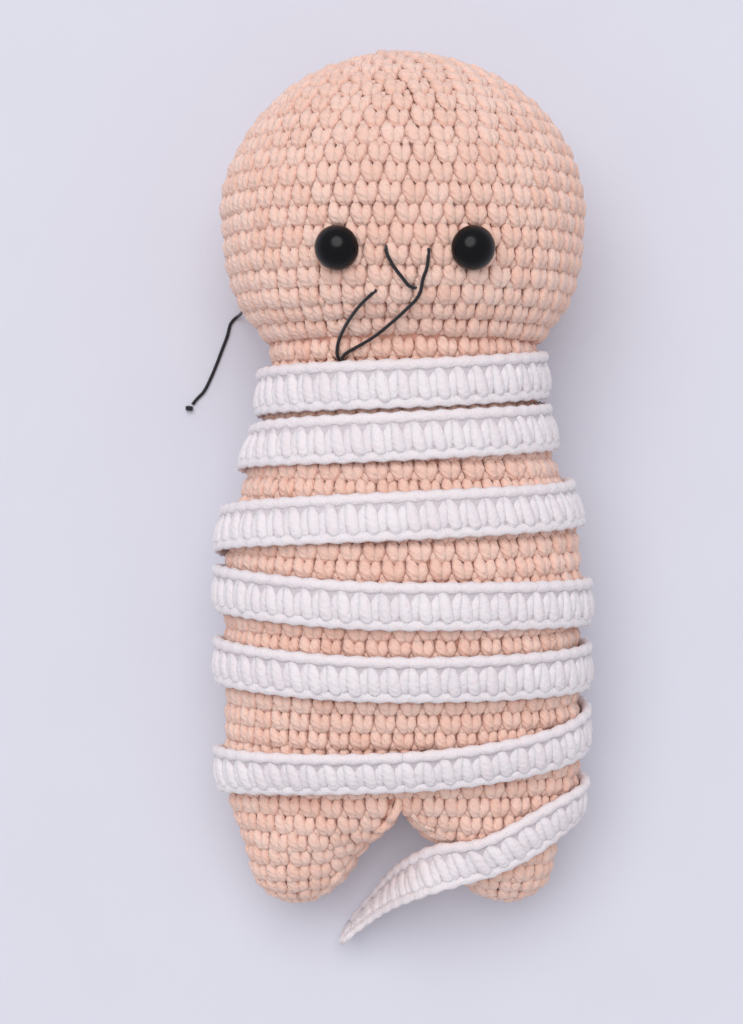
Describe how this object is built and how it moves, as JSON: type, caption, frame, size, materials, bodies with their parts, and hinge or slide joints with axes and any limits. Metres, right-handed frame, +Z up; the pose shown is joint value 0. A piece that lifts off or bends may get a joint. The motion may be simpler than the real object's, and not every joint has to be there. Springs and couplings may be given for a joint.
{
  "type": "crocheted doll",
  "caption": "Stuffed crocheted doll without arms, lying on its back, half wrapped in a long crocheted strip, with plastic safety eyes and loose face threads.",
  "frame": {"origin": "on the table under the middle of the doll and the strip's loose end", "axes": "+Y along the doll towards its crown, +Z up out of its face, +X to the doll's own left"},
  "size_m": [0.0982, 0.2124, 0.0768],
  "materials": {
    "peach_crochet": "chunky matt cotton in single crochet",
    "white_crochet": "matt white cotton in single crochet",
    "stuffing": "fluffy polyester fill",
    "eye_plastic": "polished black",
    "washer_plastic": "translucent white moulding",
    "black_thread": "twisted embroidery thread"
  },
  "bodies": {
    "torso": {"torso_skin": "peach_crochet", "torso_stuffing": "stuffing", "bandage_winding": "white_crochet"},
    "neck": {"neck_stuffing": "stuffing"},
    "head": {"head_skin": "peach_crochet", "head_stuffing": "stuffing", "face_thread_upper": "black_thread", "face_thread_lower_left": "black_thread", "face_thread_lower_right": "black_thread", "thread_tail": "black_thread", "thread_knot": "black_thread"},
    "left_eye": {"left_eye": "eye_plastic", "left_eye_washer": "washer_plastic"},
    "right_eye": {"right_eye": "eye_plastic", "right_eye_washer": "washer_plastic"},
    "left_leg": {"left_leg_skin": "peach_crochet", "left_leg_stuffing": "stuffing", "bandage_loose_end": "white_crochet"},
    "right_leg": {"right_leg_skin": "peach_crochet", "right_leg_stuffing": "stuffing"}
  },
  "joints": [
    {"name": "neck_turn", "type": "hinge", "parent": "torso", "child": "neck", "pos_m": [0, 0.00215, 0.03456], "axis": [0, 1, 0], "range_deg": [-12, 12], "stiffness_Nm_per_rad": 1, "deforming": ["bandage_winding"]},
    {"name": "neck_nod", "type": "hinge", "parent": "neck", "child": "head", "pos_m": [0, 0.00215, 0.03456], "axis": [1, 0, 0], "range_deg": [-7, 7], "stiffness_Nm_per_rad": 2, "deforming": ["bandage_winding"]},
    {"name": "left_hip", "type": "hinge", "parent": "torso", "child": "left_leg", "pos_m": [0, -0.03381, 0.02791], "axis": [1, 0, 0], "range_deg": [-20, 10], "stiffness_Nm_per_rad": 0.5, "deforming": ["bandage_winding", "bandage_loose_end"]},
    {"name": "right_hip", "type": "hinge", "parent": "torso", "child": "right_leg", "pos_m": [0, -0.03381, 0.02791], "axis": [1, 0, 0], "range_deg": [-20, 10], "stiffness_Nm_per_rad": 0.5, "deforming": ["bandage_winding"]},
    {"name": "left_eye_spin", "type": "hinge", "parent": "head", "child": "left_eye", "pos_m": [0.0148, 0.05775, 0.072], "axis": [0.3213, -0.186, 0.9285], "continuous": true},
    {"name": "right_eye_spin", "type": "hinge", "parent": "head", "child": "right_eye", "pos_m": [-0.0148, 0.05775, 0.072], "axis": [-0.3213, -0.186, 0.9285], "continuous": true}
  ]
}
